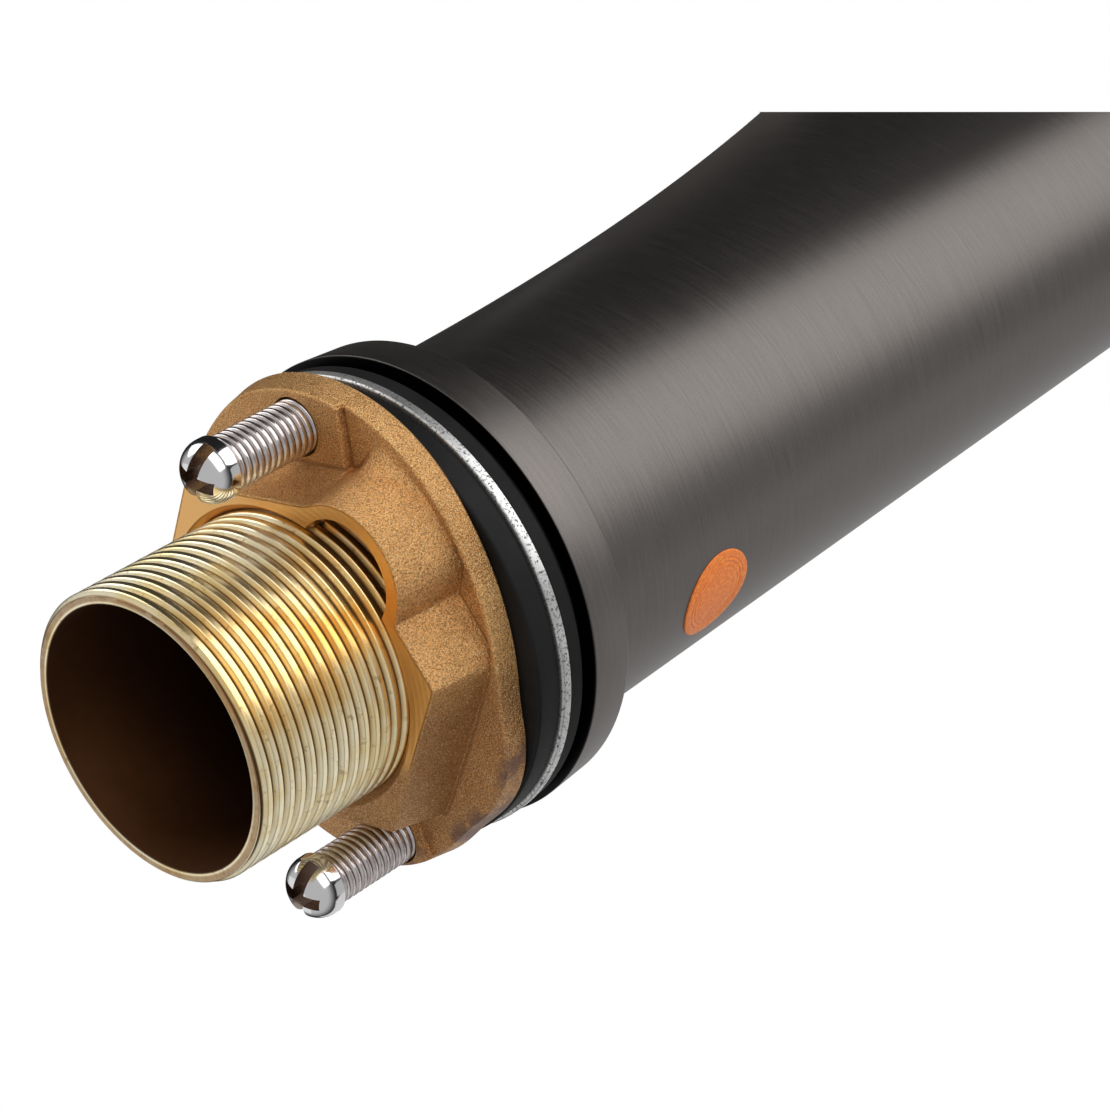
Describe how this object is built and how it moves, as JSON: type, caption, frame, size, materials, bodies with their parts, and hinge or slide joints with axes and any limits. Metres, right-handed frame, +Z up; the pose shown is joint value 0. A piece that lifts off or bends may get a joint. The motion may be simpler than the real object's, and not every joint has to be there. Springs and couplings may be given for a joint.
{
  "type": "basin mixer tap",
  "caption": "Single-lever basin mixer with a flared round body, curved spout, ceramic cartridge, aerator, and a threaded hollow shank with an oval flange nut and jack screws.",
  "frame": {"origin": "on the body's axis at the level of the basin's top face, which is the underside of the base seal", "axes": "+Z up along the body's axis, the spout points to -Y, +X is to the right of someone facing the spout"},
  "size_m": [0.0552, 0.1473, 0.2295],
  "materials": {
    "gunmetal": "brushed dark gunmetal",
    "bronze": "rough cast bronze with machined faces",
    "brass": "machined thread",
    "steel": "zinc-plated and turned",
    "chrome": "bright polished",
    "black_rubber": "matt",
    "black_plastic": "matt moulded",
    "white_plastic": "moulded",
    "disc_ceramic": "lapped",
    "sticker": "bright orange foil paper"
  },
  "bodies": {
    "tap": {"body": "gunmetal", "base_ring": "gunmetal", "base_seal": "black_rubber", "shank": "brass", "cartridge_foot": "black_plastic", "port_seals": "black_rubber", "disc_gasket": "black_rubber", "fixed_disc": "disc_ceramic", "cartridge_housing": "white_plastic", "retaining_nut": "brass", "ball_cap": "gunmetal", "aerator_housing": "gunmetal", "aerator_insert": "white_plastic", "aerator_screen": "steel", "aerator_gasket": "black_rubber", "inspection_sticker": "sticker"},
    "washers": {"rubber_washer": "black_rubber", "steel_washer": "steel"},
    "nut": {"flange_nut": "bronze", "spacer_ring": "black_plastic"},
    "jack_a": {"jack_screw_1": "chrome"},
    "jack_b": {"jack_screw_2": "chrome"},
    "turner": {"rotor": "white_plastic", "pivot_pin": "steel"},
    "lever": {"stem": "steel", "handle": "gunmetal", "grub_screw": "steel", "handle_plug": "black_plastic"},
    "disc_slider": {"sliding_disc": "disc_ceramic", "disc_carrier": "white_plastic"}
  },
  "joints": [
    {"name": "washer_travel", "type": "slide", "parent": "tap", "child": "washers", "axis": [0, 0, -1], "range_m": [0, 0.019]},
    {"name": "nut_spin", "type": "hinge", "parent": "washers", "child": "nut", "pos_m": [0, 0, 0], "axis": [0, 0, -1], "range_deg": [0, 4561]},
    {"name": "jack_a_drive", "type": "slide", "parent": "nut", "child": "jack_a", "axis": [0, 0, 1], "range_m": [0, 0.003]},
    {"name": "jack_b_drive", "type": "slide", "parent": "nut", "child": "jack_b", "axis": [0, 0, 1], "range_m": [0, 0.003]},
    {"name": "lever_turn", "type": "hinge", "parent": "tap", "child": "turner", "pos_m": [0, 0, 0.1535], "axis": [0, 0, 1], "range_deg": [-45, 45]},
    {"name": "lever_lift", "type": "hinge", "parent": "turner", "child": "lever", "pos_m": [0, 0, 0.1535], "axis": [-1, 0, 0], "range_deg": [0, 25]},
    {"name": "disc_slide", "type": "slide", "parent": "turner", "child": "disc_slider", "axis": [0, -1, 0], "range_m": [0, 0.0046]}
  ],
  "couplings": [
    {"joint": "nut_spin", "follows": "washer_travel", "rad_per_m": 4188.8},
    {"joint": "disc_slide", "follows": "lever_lift", "m_per_rad": 0.010516}
  ]
}
